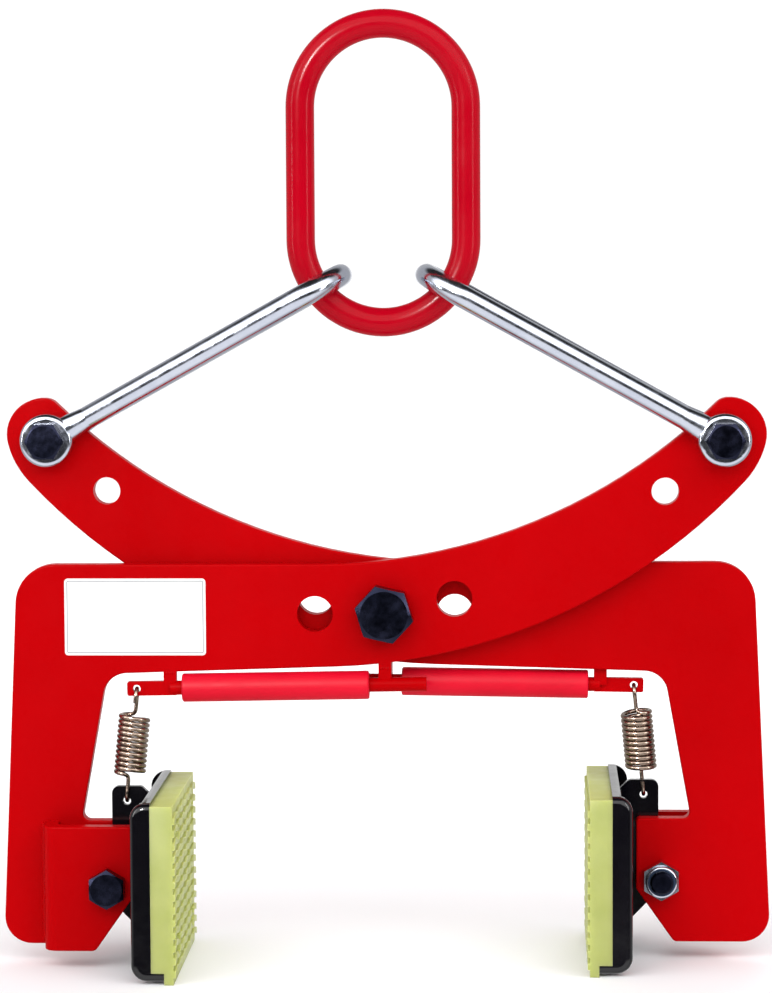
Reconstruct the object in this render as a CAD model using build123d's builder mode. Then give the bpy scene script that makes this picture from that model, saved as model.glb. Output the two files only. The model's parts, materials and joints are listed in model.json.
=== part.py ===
from build123d import *
from math import atan2, cos, degrees, radians, sin, sqrt, tan, pi
import os

os.makedirs("parts", exist_ok=True)

# Slab lifting clamp. Millimetres, +Z up, X across the jaws, the front looks along -Y.
# Most shapes are drawn in u, w and d: u runs from the pivot towards an arm's lever, w is height
# above the pivot and d is distance outwards from the mid-plane between the two arms.
# The rear side is the front side turned half a turn about Z.

# Arms
ARM_T = 12.0            # plate thickness
ARM_GAP = 1.5           # gap between the two arm plates
ARM_EDGE = 1.2          # rounding of the cut edges
BEAM_TOP = 34.2         # top of the beam above the pivot
BEAM_UNDER = 37.9       # lowest point of the lever's under edge below the pivot
BEAM_SLOPE = 1.8        # fall of the beam's underside towards the leg, degrees
LEVER_U = 235.5         # shackle bolt, across
LEVER_W = 120.8         # shackle bolt, above the pivot
LEVER_END_R = 25.6      # round end of the lever
LEVER_END_OUT = 4.0     # middle of the round end, outwards of the shackle bolt
LEVER_END_UP = 3.4      # middle of the round end, above the shackle bolt
LEVER_TIP_R = 12.0      # rounding between the round end and the upper edge
LEVER_HEEL_R = 60.0     # rounding between the round end and the under edge
LEVER_UNDER = 30.4      # lever's under edge to the shackle bolt
LEVER_TOP = 22.2        # lever's upper edge to the shackle bolt
UPPER_ARC_U = 44.0      # where the upper edge leaves the beam top, on the leg's side of the pivot
LOWER_ARC_U = 46.5      # lowest point of the under edge, on the leg's side of the pivot
LEG_OUT_TOP = 257.4     # outer edge of the leg at the beam top
LEG_IN_TOP = 194.9      # inner edge of the leg at the beam's underside
LEG_IN_FOOT = 38.2      # inner edge of the leg at the foot's top, behind the jaw edge
FOOT_OUT = 34.2         # outer edge of the leg at the foot, outwards of the shackle bolt
LEG_TOP_R = 28.0        # top outer corner
LEG_IN_R = 17.0         # inner corner below the beam
LEG_FOOT_R = 19.0       # bottom outer corner
JAW_EDGE = 175.5        # the foot's edge on the jaw's side
HINGE_BACK = 17.3       # hinge behind the foot's jaw edge
HINGE_W = 189.2         # hinge below the pivot
FOOT_UP = 42.6          # top of the foot above the hinge
FOOT_DOWN = 45.0        # bottom of the foot below the hinge
CHAMFER_DOWN = 7.4     # the foot's cut corner, upper end below the hinge
CHAMFER_RUN = 26.5      # the foot's cut corner, across
FOOT_IN_R = 5.0         # corner between the leg and the foot
FOOT_TOP_R = 3.0        # the foot's top corner at the jaw
CHAMFER_TOP_R = 4.0     # ends of the cut corner
CHAMFER_END_R = 5.0

# Clevis cheek
CHEEK_T = 10.0          # plate thickness
CHEEK_SLOT = 16.0       # slot for the holder's lug
CHEEK_FLAT_W = 61.5     # flat part, from the jaw edge to the joggle
CHEEK_RUN = 3.0         # run of the joggle across
CHEEK_BEND_R = 9.0      # outside bend
CHEEK_IN_R = 3.0        # inside bend

# Main pivot
PIVOT_D = 24.0          # bolt
PIVOT_FIT = 0.5         # hole over bolt, on the radius
PIVOT_AF = 36.0         # head and nut across flats
PIVOT_HEAD = 15.0       # head height
PIVOT_NUT = 24.0        # lock nut height
PIVOT_WASHER_D = 44.0
PIVOT_WASHER_T = 4.0
PIVOT_END = 4.0         # thread past the nut
DISC_D = 64.0           # thrust disc between the arms
RUN = 0.1               # running gap between flat faces
SPARE_PIVOT_U = 49.0    # spare pivot holes each side
SPARE_RISE = 4.7        # their middle above the pivot
SPARE_TILT = 6.25       # their line, degrees
SPARE_LEVER = 54.2      # spare shackle hole, from the shackle bolt towards the pivot
SPARE_LEVER_D = 19.0
SPARE_LEVER_TURN = 14.5 # its direction off the line to the pivot, degrees

# M16 bolts at the jaws and the shackles
BOLT_D = 16.0
BOLT_FIT = 0.5          # hole over bolt, on the radius, for pieces that turn on it
BOLT_SNUG = 0.25        # hole over bolt, on the radius, for pieces that are clamped
BOLT_AF = 24.0
BOLT_HEAD = 10.0
LOCK_NUT = 16.0
WASHER_D = 30.0
WASHER_T = 3.0
BOLT_END = 3.5          # thread past the nut
HEX_TOP = 0.92          # circle on a head's top, over its flats
HEX_SLOPE = 30.0        # fall of the head's coned corners, degrees
PIVOT_TURN = -13.0      # pivot bolt's head as it was left, degrees

# Shackles
BOW_ROD = 16.0          # rod
BOW_LENGTH = 235.0      # bolt to the middle of the rod at the bow's tip
BOW_TIP_X = 30.0        # the tip's distance from the middle as it hangs
BOW_R = 31.0            # bend at the tip, on the rod's middle
EYE_D = 37.0
EYE_T = 16.0
EYE_GAP = 0.75          # eye to arm plate
EYE_EDGE = 3.5          # rounding of the eye
NECK_W = 20.0           # width of the neck at the eye
NECK_START = 12.0       # neck's start, from the bolt
NECK_SINK = 0.25        # neck's surface inside the eye's faces and the rod
NECK_LAP = 1.0          # neck's end past the rod's start
ROD_START = 14.5        # rod's start past the eye

# Master ring
RING_BAR = 20.0
RING_IN_W = 95.0
RING_IN_L = 186.3
RING_PLAY = 0.5         # bow to ring as drawn, on the bow's middle

# Jaw hinge, grip pad and holder
PAD_AHEAD = 52.3        # rib tips in front of the hinge
PAD_DOWN = 57.4         # pad's bottom below the hinge
PAD_T = 17.0            # with the ribs
PAD_H = 123.0
PAD_DEPTH = 150.0
PAD_MID_D = 15.0        # pad's middle outwards of the mid-plane
REBATE_T = 9.0          # bottom rebate over the holder's lip
REBATE_H = 8.0
RIB_H = 1.6
RIB_PITCH = 8.8
RIB_LAND = 4.6
RIB_COUNT = 13
RIB_WAVE = 2.6          # height of the zigzag
RIB_TEETH = 12          # straight runs of the zigzag
SCREW_D = 8.0
SCREW_HEAD_D = 13.0
SCREW_HEAD_H = 5.0
SCREW_SOCKET = 6.0
SCREW_SINK = 9.0        # head's top below the rib tips
SCREW_W = 38.0          # screws above and below the pad's middle
SCREW_Y = 48.0          # screws each side of the pad's middle
SCREW_FIT = 0.1
HOLDER_T = 6.0
HOLDER_OVER = 2.0       # holder's top above the pad's top
FLANGE_W = 14.0         # side flange, from the pad's back
FLANGE_T = 8.0
FLANGE_R = 11.0
FLANGE_EDGE = 5.0       # rounding of the flange's outer edge
LIP_UP = 2.0            # lip above the pad's bottom
LUG_GAP = 0.5           # lug to each side of the slot
LUG_END_R = 20.0
LUG_UP = 34.0           # lug's root above the hinge
LUG_DOWN = 40.0         # lug's root below the hinge
LUG_SLOPE = 46.0        # rise of the lug's under edge, degrees
STOP_GAP = 0.3          # stop block to the foot's jaw edge
STOP_LOW = 8.0          # stop block above the hinge
STOP_HIGH = 37.0
TAB_T = 5.0             # spring tab
TAB_BACK = 34.0         # tab's back edge from the pad's back
TAB_UP = 68.1           # tab's top above the hinge
TAB_R = 5.0             # tab's corner
TAB_CUT = 7.0           # tab's sloped corner at the web
TAB_HOLE_U = 23.5       # spring hole from the pad's back
TAB_HOLE_W = 10.5       # spring hole below the tab's top

# Stop bars, sleeves and springs
BAR_ROD = 10.0
BAR_W = 50.5            # bar's middle under the pivot
BAR_D = 10.0             # bar's middle outwards of the mid-plane
BAR_TILT = 0.9          # fall towards the leg, degrees
BAR_STUB = 29.0         # inner end past the pivot
POST_IN = 25.0          # outer post, from the jaw edge towards the pivot
POST_W = 9.0            # post width
POST_T = 7.0            # post thickness
SLEEVE_D = 20.0
SLEEVE_FIT = 0.4
SLEEVE_OUT = 8.5        # sleeve's outer end, from the outer post's middle
SLEEVE_IN = 11.0        # sleeve's inner end, from the pivot
TONGUE_T = 5.0          # flattened end
TONGUE_PAST = 6.7       # flattened end past the spring hole
TONGUE_R = 1.5          # its corners
HOLE_IN = 1.5           # spring hole, from the jaw edge towards the pivot
WIRE = 2.9
COIL_D = 19.7           # coil on the wire's middle
COIL_PITCH = 3.55
COIL_TURNS = 12
HOOK_R = 5.0            # hook's bend on the wire's middle
HOOK_TAIL = 5.0         # hook's free end
HOOK_HOLE = 5.5
TURN_IN = 5.0           # length in which the hook's leg runs into the coil
TURN_IN_ANGLE = 90.0

# Worked out from the values above
HINGE_U = JAW_EDGE + HINGE_BACK
LEG_OUT_FOOT = LEVER_U + FOOT_OUT
FOOT_TOP = HINGE_W - FOOT_UP
FOOT_BOTTOM = HINGE_W + FOOT_DOWN
CHAMFER_TOP = HINGE_W + CHAMFER_DOWN
CHAMFER_U = JAW_EDGE + CHAMFER_RUN
CHEEK_FLAT = JAW_EDGE + CHEEK_FLAT_W
PAD_DROP = HINGE_W + PAD_DOWN
PAD_FACE = HINGE_U - PAD_AHEAD
TAB_TOP = HINGE_W - TAB_UP
BAR_HOLE = JAW_EDGE - HOLE_IN
TONGUE_END = BAR_HOLE + TONGUE_PAST
POST_U = JAW_EDGE - POST_IN
SLEEVE_END = POST_U - SLEEVE_OUT
PIVOT_Z = PAD_DROP
ARM_IN = ARM_GAP / 2
ARM_OUT = ARM_IN + ARM_T
ARM_MID = ARM_IN + ARM_T / 2
SLOT_OUT = ARM_OUT + CHEEK_SLOT
CHEEK_OUT = SLOT_OUT + CHEEK_T
LUG_MID = ARM_OUT + CHEEK_SLOT / 2
LUG_T = CHEEK_SLOT - 2 * LUG_GAP
PAD_BACK = PAD_FACE + PAD_T
PAD_BASE = PAD_FACE + RIB_H
PAD_TOP = PAD_DROP - PAD_H
PAD_IN = PAD_MID_D - PAD_DEPTH / 2
WEB_BACK = PAD_BACK + HOLDER_T
LIP_TOP = PAD_DROP - REBATE_H
LIP_LOW = PAD_DROP - LIP_UP
TAB_HOLE = (-(PAD_BACK + TAB_HOLE_U), -(TAB_TOP + TAB_HOLE_W))
TAB_D = LUG_MID - LUG_T / 2 + TAB_T / 2
EYE_MID = ARM_T / 2 + EYE_GAP + EYE_T / 2
RING_R = RING_IN_W / 2 + RING_BAR / 2
BOW_ANGLE = atan2(sqrt(BOW_LENGTH**2 - (LEVER_U - BOW_TIP_X) ** 2), LEVER_U - BOW_TIP_X)
TIP_Z = PIVOT_Z + LEVER_W + BOW_LENGTH * sin(BOW_ANGLE)
RING_REACH = RING_R - RING_BAR / 2 - BOW_ROD / 2 - RING_PLAY
RING_LOW_Z = TIP_Z + sqrt(RING_REACH**2 - BOW_TIP_X**2)
RING_HIGH_Z = RING_LOW_Z + RING_IN_L - RING_IN_W

SIDES = (("front", "left", "right", 1), ("rear", "right", "left", -1))


def spot(way, u, w, d):
    """Place of a point of one side in the part's frame."""
    return Vector(way * u, -way * d, PIVOT_Z + w)


def side_plane(way, d):
    """Drawing plane of one side: x is u, y is w, and z points outwards."""
    return Plane(origin=spot(way, 0, 0, d), x_dir=(way, 0, 0), z_dir=(0, -way, 0))


def jaw_plane(way, u):
    """Drawing plane across one side: x is w, y is d, and z points along u."""
    return Plane(origin=spot(way, u, 0, 0), x_dir=(0, 0, 1), z_dir=(way, 0, 0))


def on_circle(centre, radius, angle):
    """Point of a circle at an angle in radians."""
    return (centre[0] + radius * cos(angle), centre[1] + radius * sin(angle))


def angle_to(a, b):
    """Direction from one point to another, in radians."""
    return atan2(b[1] - a[1], b[0] - a[0])


def span(a, b):
    """Distance between two points."""
    return sqrt((b[0] - a[0]) ** 2 + (b[1] - a[1]) ** 2)


def touch(point, centre, radius, hand):
    """Where a line from a point touches a circle, on its left (1) or right (-1)."""
    turn = hand * (pi / 2 - atan2(radius, sqrt(span(point, centre) ** 2 - radius**2)))
    return on_circle(centre, radius, angle_to(centre, point) + turn)


def meet(a, from_a, b, from_b, hand):
    """Point at a distance from each of two points, left (1) or right (-1) of the line between them."""
    along = (from_a**2 - from_b**2 + span(a, b) ** 2) / (2 * span(a, b))
    return on_circle(a, from_a, angle_to(a, b) + hand * atan2(sqrt(from_a**2 - along**2), along))


# Arc edges of the lever. Each arc has its lowest point at a level and passes the bolt at a margin.
LEVER = (LEVER_U, LEVER_W)
ROUND_END = (LEVER_U + LEVER_END_OUT, LEVER_W + LEVER_END_UP)


def lever_arc(low_u, level, margin):
    """Centre and radius of a lever edge."""
    run = LEVER_U - low_u
    lift = level - margin
    height = (run**2 + LEVER_W**2 - lift**2) / (2 * (LEVER_W - lift))
    return (low_u, height), height - level


UP_C, UP_R = lever_arc(-UPPER_ARC_U, BEAM_TOP, LEVER_TOP)
LOW_C, LOW_R = lever_arc(-LOWER_ARC_U, -BEAM_UNDER, -LEVER_UNDER)
TIP_C = meet(UP_C, UP_R + LEVER_TIP_R, ROUND_END, LEVER_END_R - LEVER_TIP_R, 1)
HEEL_C = meet(LOW_C, LOW_R - LEVER_HEEL_R, ROUND_END, LEVER_HEEL_R - LEVER_END_R, -1)
UP_END = on_circle(UP_C, UP_R, angle_to(UP_C, TIP_C))
ROUND_HIGH = on_circle(ROUND_END, LEVER_END_R, angle_to(ROUND_END, TIP_C))
ROUND_LOW = on_circle(ROUND_END, LEVER_END_R, angle_to(HEEL_C, ROUND_END))
LOW_END = on_circle(LOW_C, LOW_R, angle_to(LOW_C, HEEL_C))
LOW_START = on_circle(LOW_C, LOW_R, radians(BEAM_SLOPE - 90))
UP_START = (-UPPER_ARC_U, BEAM_TOP)
under_at_leg = LOW_START[1] - (LEG_IN_TOP + LOW_START[0]) * tan(radians(BEAM_SLOPE))
LEG_LINE = [
    LOW_START,
    (-LEG_IN_TOP, under_at_leg),
    (-JAW_EDGE - LEG_IN_FOOT, -FOOT_TOP),
    (-JAW_EDGE, -FOOT_TOP),
    (-JAW_EDGE, -CHAMFER_TOP),
    (-CHAMFER_U, -FOOT_BOTTOM),
    (-LEG_OUT_FOOT, -FOOT_BOTTOM),
    (-LEG_OUT_TOP, BEAM_TOP),
    UP_START,
]
LEG_ROUND = [LEG_IN_R, FOOT_IN_R, FOOT_TOP_R, CHAMFER_TOP_R, CHAMFER_END_R, LEG_FOOT_R, LEG_TOP_R]


def mid_arc(centre, radius, a, b):
    """Point of a circle half-way between two of its points, the short way."""
    return on_circle(centre, radius, (angle_to(centre, a) + angle_to(centre, b)) / 2)


SPARE_WAY = angle_to(LEVER, (0, 0)) + radians(SPARE_LEVER_TURN)

for side, jaw, lever, way in SIDES:
    # Arm plate: beam, leg, foot and lever in one
    with BuildPart() as arm:
        with BuildSketch(side_plane(way, ARM_IN)):
            with BuildLine():
                FilletPolyline(*LEG_LINE, radius=LEG_ROUND)
                ThreePointArc(UP_START, mid_arc(UP_C, UP_R, UP_START, UP_END), UP_END)
                ThreePointArc(UP_END, mid_arc(TIP_C, LEVER_TIP_R, UP_END, ROUND_HIGH), ROUND_HIGH)
                ThreePointArc(ROUND_HIGH, mid_arc(ROUND_END, LEVER_END_R, ROUND_HIGH, ROUND_LOW), ROUND_LOW)
                ThreePointArc(ROUND_LOW, mid_arc(HEEL_C, LEVER_HEEL_R, ROUND_LOW, LOW_END), LOW_END)
                ThreePointArc(LOW_END, mid_arc(LOW_C, LOW_R, LOW_END, LOW_START), LOW_START)
            make_face()
        extrude(amount=ARM_T)
        rims = arm.faces().filter_by(Axis.Y).edges()
        fillet(rims, radius=ARM_EDGE)
        with BuildSketch(side_plane(way, ARM_IN)):
            with Locations(
                (0, 0),
                on_circle((0, SPARE_RISE), SPARE_PIVOT_U, radians(SPARE_TILT)),
                on_circle((0, SPARE_RISE), -SPARE_PIVOT_U, radians(SPARE_TILT)),
            ):
                Circle(PIVOT_D / 2 + PIVOT_FIT)
            with Locations(LEVER):
                Circle(BOLT_D / 2 + BOLT_FIT)
            with Locations((-HINGE_U, -HINGE_W)):
                Circle(BOLT_D / 2 + BOLT_SNUG)
            with Locations(on_circle(LEVER, SPARE_LEVER, SPARE_WAY)):
                Circle(SPARE_LEVER_D / 2)
        extrude(amount=ARM_T, mode=Mode.SUBTRACT)
    arm.part.label = f"{side}_arm"
    export_step(arm.part, f"parts/{side}_arm.step")

    # Joggled cheek on the outside of the foot
    ramp = atan2(CHEEK_SLOT + CHEEK_T, CHEEK_RUN)
    bend_in = CHEEK_FLAT - CHEEK_T * tan(ramp / 2)
    cheek_plane = Plane(origin=spot(way, 0, -FOOT_TOP, 0), x_dir=(way, 0, 0), z_dir=(0, 0, -1))
    with BuildPart() as cheek:
        with BuildSketch(cheek_plane):
            with BuildLine():
                FilletPolyline(
                    (-JAW_EDGE, CHEEK_OUT),
                    (-CHEEK_FLAT, CHEEK_OUT),
                    (-CHEEK_FLAT - CHEEK_RUN, ARM_OUT),
                    (-bend_in - CHEEK_SLOT / tan(ramp), ARM_OUT),
                    (-bend_in, SLOT_OUT),
                    (-JAW_EDGE, SLOT_OUT),
                    radius=[0, CHEEK_BEND_R, 0, 0, CHEEK_IN_R, 0],
                    close=True,
                )
            make_face()
        extrude(amount=FOOT_BOTTOM - FOOT_TOP)
        with BuildSketch(side_plane(way, ARM_OUT)):
            with BuildLine():
                FilletPolyline(
                    (-LEG_OUT_FOOT, -FOOT_TOP),
                    (-JAW_EDGE, -FOOT_TOP),
                    (-JAW_EDGE, -CHAMFER_TOP),
                    (-CHAMFER_U, -FOOT_BOTTOM),
                    (-LEG_OUT_FOOT, -FOOT_BOTTOM),
                    radius=[0, FOOT_TOP_R, CHAMFER_TOP_R, CHAMFER_END_R, 0],
                    close=True,
                )
            make_face()
        extrude(amount=CHEEK_SLOT + CHEEK_T, mode=Mode.INTERSECT)
        outer_face = cheek.faces().filter_by(Axis.Y).sort_by(Axis.Y)[0 if way == 1 else -1]
        outer_rim = outer_face.edges().sort_by(Axis.X)
        fillet(outer_rim[1:] if way == 1 else outer_rim[:-1], radius=ARM_EDGE)
        with BuildSketch(side_plane(way, SLOT_OUT)):
            with Locations((-HINGE_U, -HINGE_W)):
                Circle(BOLT_D / 2 + BOLT_SNUG)
        extrude(amount=CHEEK_T, mode=Mode.SUBTRACT)
    cheek.part.label = f"{side}_cheek"
    export_step(cheek.part, f"parts/{side}_cheek.step")

    # Jaw hinge bolt: head on the cheek, lock nut on the inner face of the foot
    with BuildPart() as hinge_bolt:
        with BuildSketch(side_plane(way, CHEEK_OUT)):
            with Locations((-HINGE_U, -HINGE_W)):
                RegularPolygon(BOLT_AF / 2, 6, major_radius=False, rotation=30)
        extrude(amount=BOLT_HEAD)
        for level, flare in ((0, BOLT_HEAD / tan(radians(HEX_SLOPE))), (BOLT_HEAD, 0)):
            with BuildSketch(side_plane(way, CHEEK_OUT + level)):
                with Locations((-HINGE_U, -HINGE_W)):
                    Circle(HEX_TOP * BOLT_AF / 2 + flare)
        loft(mode=Mode.INTERSECT)
        with BuildSketch(side_plane(way, ARM_IN - LOCK_NUT - BOLT_END)):
            with Locations((-HINGE_U, -HINGE_W)):
                Circle(BOLT_D / 2)
        extrude(amount=CHEEK_OUT - ARM_IN + LOCK_NUT + BOLT_END)
        tip = hinge_bolt.faces().sort_by(Axis.Y)[-1 if way == 1 else 0]
        chamfer(tip.edges(), length=1.2)
    hinge_bolt.part.label = f"{jaw}_hinge_bolt"
    export_step(hinge_bolt.part, f"parts/{jaw}_hinge_bolt.step")

    with BuildPart() as hinge_nut:
        with BuildSketch(side_plane(way, ARM_IN)):
            with Locations((-HINGE_U, -HINGE_W)):
                RegularPolygon(BOLT_AF / 2, 6, major_radius=False, rotation=30)
        extrude(amount=-LOCK_NUT * 0.72)
        with BuildSketch(side_plane(way, ARM_IN)):
            with Locations((-HINGE_U, -HINGE_W)):
                Circle(BOLT_AF / 2 - 0.8)
        extrude(amount=-LOCK_NUT)
        nut_top = hinge_nut.faces().sort_by(Axis.Y)[-1 if way == 1 else 0]
        fillet(nut_top.edges(), radius=1.5)
        with BuildSketch(side_plane(way, ARM_IN)):
            with Locations((-HINGE_U, -HINGE_W)):
                Circle(BOLT_D / 2 + SCREW_FIT)
        extrude(amount=-LOCK_NUT, mode=Mode.SUBTRACT)
    hinge_nut.part.label = f"{jaw}_hinge_nut"
    export_step(hinge_nut.part, f"parts/{jaw}_hinge_nut.step")

    # Grip pad with zigzag ribs
    with BuildPart() as pad:
        with BuildSketch(side_plane(way, PAD_IN)):
            with BuildLine():
                Polyline(
                    (-PAD_BACK, -PAD_TOP),
                    (-PAD_BASE, -PAD_TOP),
                    (-PAD_BASE, -PAD_DROP),
                    (-PAD_BACK + REBATE_T, -PAD_DROP),
                    (-PAD_BACK + REBATE_T, -LIP_TOP),
                    (-PAD_BACK, -LIP_TOP),
                    close=True,
                )
            make_face()
        extrude(amount=PAD_DEPTH)
        with BuildSketch(jaw_plane(way, -PAD_BASE)):
            rib_low = -PAD_DROP + (PAD_H - (RIB_COUNT - 1) * RIB_PITCH - RIB_LAND - RIB_WAVE) / 2
            for rib in range(RIB_COUNT):
                low = []
                for tooth in range(RIB_TEETH + 1):
                    rise = RIB_WAVE * (tooth % 2)
                    low.append((rib_low + rib * RIB_PITCH + rise, PAD_IN + PAD_DEPTH * tooth / RIB_TEETH))
                high = [(w + RIB_LAND, d) for w, d in reversed(low)]
                with BuildLine():
                    Polyline(*low, *high, close=True)
                make_face()
        extrude(amount=RIB_H)
        pad_mid = -(PAD_TOP + PAD_H / 2)
        with BuildSketch(jaw_plane(way, -PAD_FACE)):
            with Locations((pad_mid, PAD_MID_D)):
                with GridLocations(2 * SCREW_W, 2 * SCREW_Y, 2, 2):
                    Circle(SCREW_HEAD_D / 2 + 1)
        extrude(amount=-SCREW_SINK - SCREW_HEAD_H, mode=Mode.SUBTRACT)
        with BuildSketch(jaw_plane(way, -PAD_FACE)):
            with Locations((pad_mid, PAD_MID_D)):
                with GridLocations(2 * SCREW_W, 2 * SCREW_Y, 2, 2):
                    Circle(SCREW_D / 2 + SCREW_FIT)
        extrude(amount=-PAD_T, mode=Mode.SUBTRACT)
    pad.part.label = f"{jaw}_pad"
    export_step(pad.part, f"parts/{jaw}_pad.step")

    # Four socket screws that hold the pad
    with BuildPart() as screws:
        with BuildSketch(jaw_plane(way, -PAD_FACE - SCREW_SINK)):
            with Locations((pad_mid, PAD_MID_D)):
                with GridLocations(2 * SCREW_W, 2 * SCREW_Y, 2, 2):
                    Circle(SCREW_HEAD_D / 2)
        extrude(amount=-SCREW_HEAD_H)
        with BuildSketch(jaw_plane(way, -PAD_FACE - SCREW_SINK)):
            with Locations((pad_mid, PAD_MID_D)):
                with GridLocations(2 * SCREW_W, 2 * SCREW_Y, 2, 2):
                    Circle(SCREW_D / 2)
        extrude(amount=-(PAD_T - SCREW_SINK) - HOLDER_T)
        with BuildSketch(jaw_plane(way, -PAD_FACE - SCREW_SINK)):
            with Locations((pad_mid, PAD_MID_D)):
                with GridLocations(2 * SCREW_W, 2 * SCREW_Y, 2, 2):
                    RegularPolygon(SCREW_SOCKET / 2, 6, major_radius=False)
        extrude(amount=-SCREW_HEAD_H * 0.6, mode=Mode.SUBTRACT)
    screws.part.label = f"{jaw}_pad_screws"
    export_step(screws.part, f"parts/{jaw}_pad_screws.step")

    # Pad holder: web, bottom lip and two side flanges, rounded outside
    with BuildPart() as holder:
        with BuildSketch(side_plane(way, PAD_IN)):
            with BuildLine():
                FilletPolyline(
                    (-PAD_BACK, -LIP_TOP),
                    (-PAD_BACK, -PAD_TOP + HOLDER_OVER),
                    (-PAD_BACK - FLANGE_W, -PAD_TOP + HOLDER_OVER),
                    (-PAD_BACK - FLANGE_W, -LIP_LOW),
                    (-PAD_BACK + REBATE_T, -LIP_LOW),
                    (-PAD_BACK + REBATE_T, -LIP_TOP),
                    radius=[0, 0, FLANGE_R, FLANGE_R, 0, 0],
                    close=True,
                )
            make_face()
        extrude(amount=PAD_DEPTH)
        rims = holder.faces().filter_by(Axis.Y).edges()
        behind = rims.filter_by(lambda rim: abs(rim.center().X) > PAD_BACK + 1)
        below = rims.group_by(Axis.Z)[0]
        fillet(behind + below, radius=FLANGE_EDGE)
        with BuildSketch(jaw_plane(way, -WEB_BACK)):
            with Locations((pad_mid, PAD_MID_D)):
                Rectangle(2 * PAD_H, PAD_DEPTH - 2 * FLANGE_T)
        extrude(amount=-FLANGE_W, mode=Mode.SUBTRACT)
        with BuildSketch(jaw_plane(way, -PAD_BACK)):
            with Locations((pad_mid, PAD_MID_D)):
                with GridLocations(2 * SCREW_W, 2 * SCREW_Y, 2, 2):
                    Circle(SCREW_D / 2 + SCREW_FIT)
        extrude(amount=-HOLDER_T, mode=Mode.SUBTRACT)
    holder.part.label = f"{jaw}_pad_holder"
    export_step(holder.part, f"parts/{jaw}_pad_holder.step")

    # Lug on the holder's back: hinge eye, stop block and spring tab
    hinge = (-HINGE_U, -HINGE_W)
    root_high = (-WEB_BACK, -HINGE_W + LUG_UP)
    root_low = (-WEB_BACK, -HINGE_W - LUG_DOWN)
    under_eye = (-HINGE_U, -HINGE_W - LUG_DOWN + (HINGE_U - WEB_BACK) * tan(radians(LUG_SLOPE)))
    touch_high = touch(root_high, hinge, LUG_END_R, 1)
    with BuildPart() as lug:
        with BuildSketch(side_plane(way, LUG_MID - LUG_T / 2)):
            with BuildLine():
                Polyline(root_low, root_high, touch_high, hinge, under_eye, close=True)
            make_face()
            with Locations(hinge):
                Circle(LUG_END_R)
        extrude(amount=LUG_T)
        with BuildSketch(side_plane(way, ARM_IN)):
            with BuildLine():
                Polyline(
                    (-WEB_BACK, -HINGE_W + STOP_LOW),
                    (-WEB_BACK, -HINGE_W + STOP_HIGH),
                    (-JAW_EDGE + STOP_GAP, -HINGE_W + STOP_HIGH),
                    (-JAW_EDGE + STOP_GAP, -HINGE_W + STOP_LOW),
                    close=True,
                )
            make_face()
        extrude(amount=CHEEK_OUT - ARM_IN)
        with BuildSketch(side_plane(way, TAB_D - TAB_T / 2)):
            with BuildLine():
                FilletPolyline(
                    (-WEB_BACK, -HINGE_W),
                    (-WEB_BACK, -TAB_TOP - TAB_CUT),
                    (-WEB_BACK - TAB_CUT, -TAB_TOP),
                    (-PAD_BACK - TAB_BACK, -TAB_TOP),
                    (-PAD_BACK - TAB_BACK, -HINGE_W),
                    radius=[0, 0, TAB_R, TAB_R, 0],
                    close=True,
                )
            make_face()
        extrude(amount=TAB_T)
        with BuildSketch(side_plane(way, ARM_IN)):
            with Locations(hinge):
                Circle(BOLT_D / 2 + BOLT_FIT)
            with Locations(TAB_HOLE):
                Circle(HOOK_HOLE / 2)
        extrude(amount=CHEEK_OUT - ARM_IN, mode=Mode.SUBTRACT)
    lug.part.label = f"{jaw}_holder_lug"
    export_step(lug.part, f"parts/{jaw}_holder_lug.step")

    # Stop bar under the beam: rod, two posts and a flattened end for the spring
    tilt = radians(BAR_TILT)
    bar_way = Vector(-way * cos(tilt), 0, -sin(tilt))
    bar_at = spot(way, 0, -BAR_W, BAR_D)
    rod_plane = Plane(origin=bar_at - bar_way * BAR_STUB, x_dir=(0, -way, 0), z_dir=bar_way)
    sleeve_plane = Plane(origin=bar_at + bar_way * SLEEVE_IN, x_dir=(0, -way, 0), z_dir=bar_way)
    flat_at = bar_at - Vector(0, -way, 0) * (TONGUE_T / 2)
    flat_plane = Plane(origin=flat_at, x_dir=bar_way, z_dir=(0, -way, 0))
    with BuildPart() as bar:
        with BuildSketch(rod_plane):
            Circle(BAR_ROD / 2)
        extrude(amount=BAR_STUB + POST_U)
        with BuildSketch(flat_plane):
            with BuildLine():
                FilletPolyline(
                    (TONGUE_END, -BAR_ROD / 2),
                    (POST_U - POST_W / 2, -BAR_ROD / 2),
                    (POST_U - POST_W / 2, BAR_ROD / 2),
                    (TONGUE_END, BAR_ROD / 2),
                    radius=[TONGUE_R, 0, 0, TONGUE_R],
                    close=True,
                )
            make_face()
        extrude(amount=TONGUE_T)
        with BuildSketch(side_plane(way, ARM_OUT - POST_T)):
            with Locations((0, -BAR_W), (-POST_U, -BAR_W - POST_U * tan(tilt))):
                Rectangle(POST_W, BAR_W - BEAM_UNDER + BAR_ROD, align=(Align.CENTER, Align.MIN))
        extrude(amount=POST_T)
        add(arm.part, mode=Mode.SUBTRACT)
        with BuildSketch(flat_plane):
            with Locations((BAR_HOLE, 0)):
                Circle(HOOK_HOLE / 2)
        extrude(amount=TONGUE_T, mode=Mode.SUBTRACT)
    bar.part.label = f"{side}_stop_bar"
    export_step(bar.part, f"parts/{side}_stop_bar.step")

    with BuildPart() as sleeve:
        with BuildSketch(sleeve_plane):
            Circle(SLEEVE_D / 2)
            Circle(BAR_ROD / 2 + SLEEVE_FIT, mode=Mode.SUBTRACT)
        extrude(amount=SLEEVE_END - SLEEVE_IN)
        fillet(sleeve.edges().filter_by(GeomType.CIRCLE).sort_by(SortBy.RADIUS)[-2:], radius=1.5)
    sleeve.part.label = f"{side}_sleeve"
    export_step(sleeve.part, f"parts/{side}_sleeve.step")

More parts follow.
